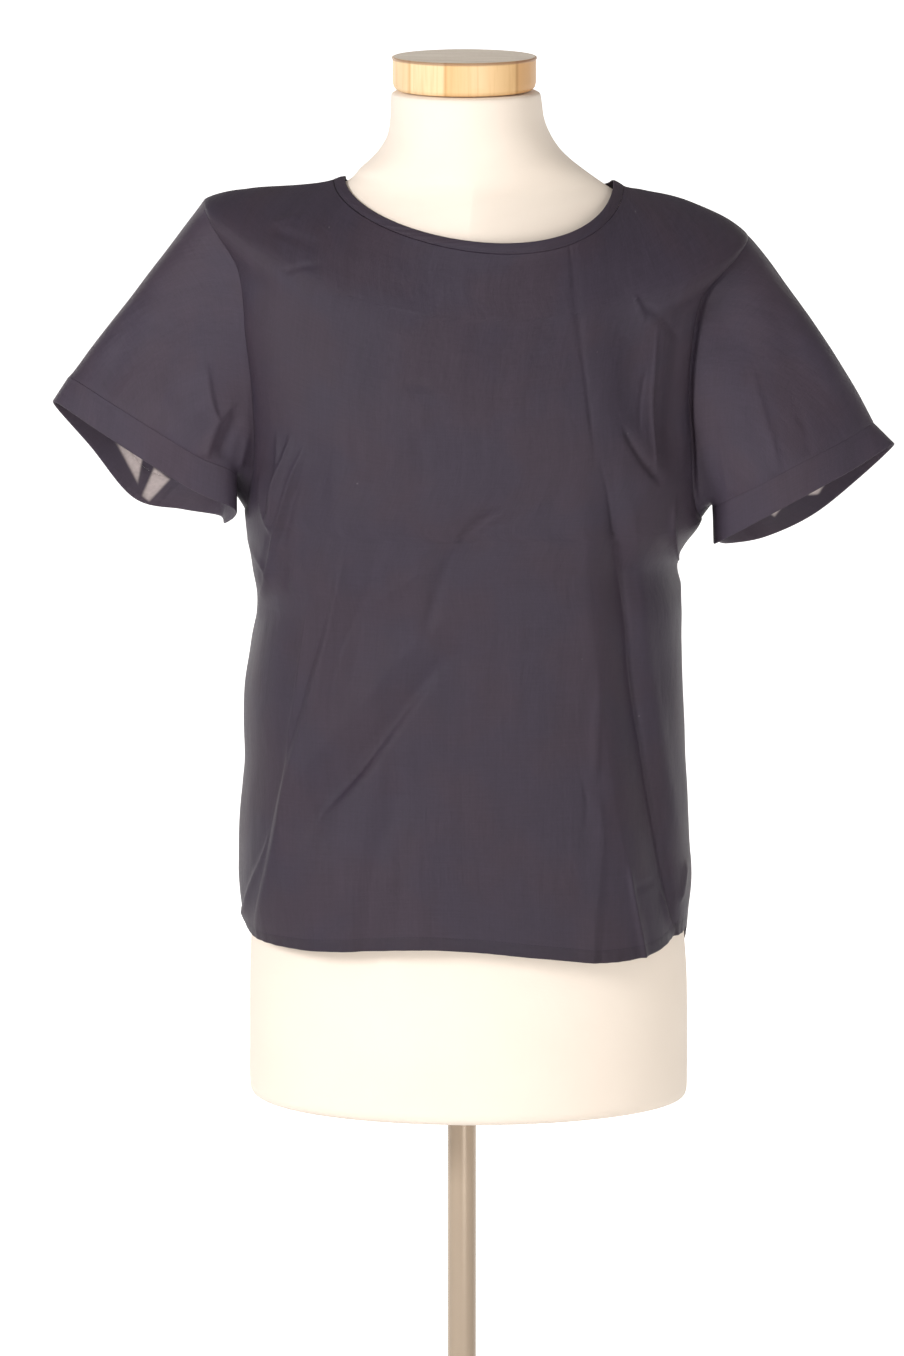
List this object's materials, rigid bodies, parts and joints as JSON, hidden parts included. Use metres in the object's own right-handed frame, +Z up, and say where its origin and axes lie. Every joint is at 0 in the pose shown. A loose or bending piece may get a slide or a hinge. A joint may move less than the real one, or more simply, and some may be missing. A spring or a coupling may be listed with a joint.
{
  "type": "short-sleeve blouse on a limbless dress form",
  "caption": "Round-neck short-sleeve blouse with turned-up cuffs, worn on a limbless dress form with a wooden neck cap, pole and round base.",
  "frame": {"origin": "middle of the underside of the round base, on the floor", "axes": "+Z up the pole, the front of the blouse faces -Y, +X is the wearer's left (the viewer's right seen from the front)"},
  "size_m": [0.674, 0.32, 1.5],
  "materials": {
    "blouse_cloth": "matt plain weave, dark navy with a slight purple cast",
    "form_jersey": "matt cream jersey stretched smooth",
    "cap_wood": "clear varnished light pine",
    "pole_metal": "polished steel tube",
    "base_metal": "plain satin steel"
  },
  "bodies": {
    "root": {"front_panel": "blouse_cloth", "back_panel": "blouse_cloth", "neck_binding": "blouse_cloth", "sleeve_left": "blouse_cloth", "sleeve_right": "blouse_cloth", "cuff_left": "blouse_cloth", "cuff_right": "blouse_cloth", "dress_form": "form_jersey", "neck_cap": "cap_wood", "pole": "pole_metal", "stand_base": "base_metal"}
  },
  "joints": []
}
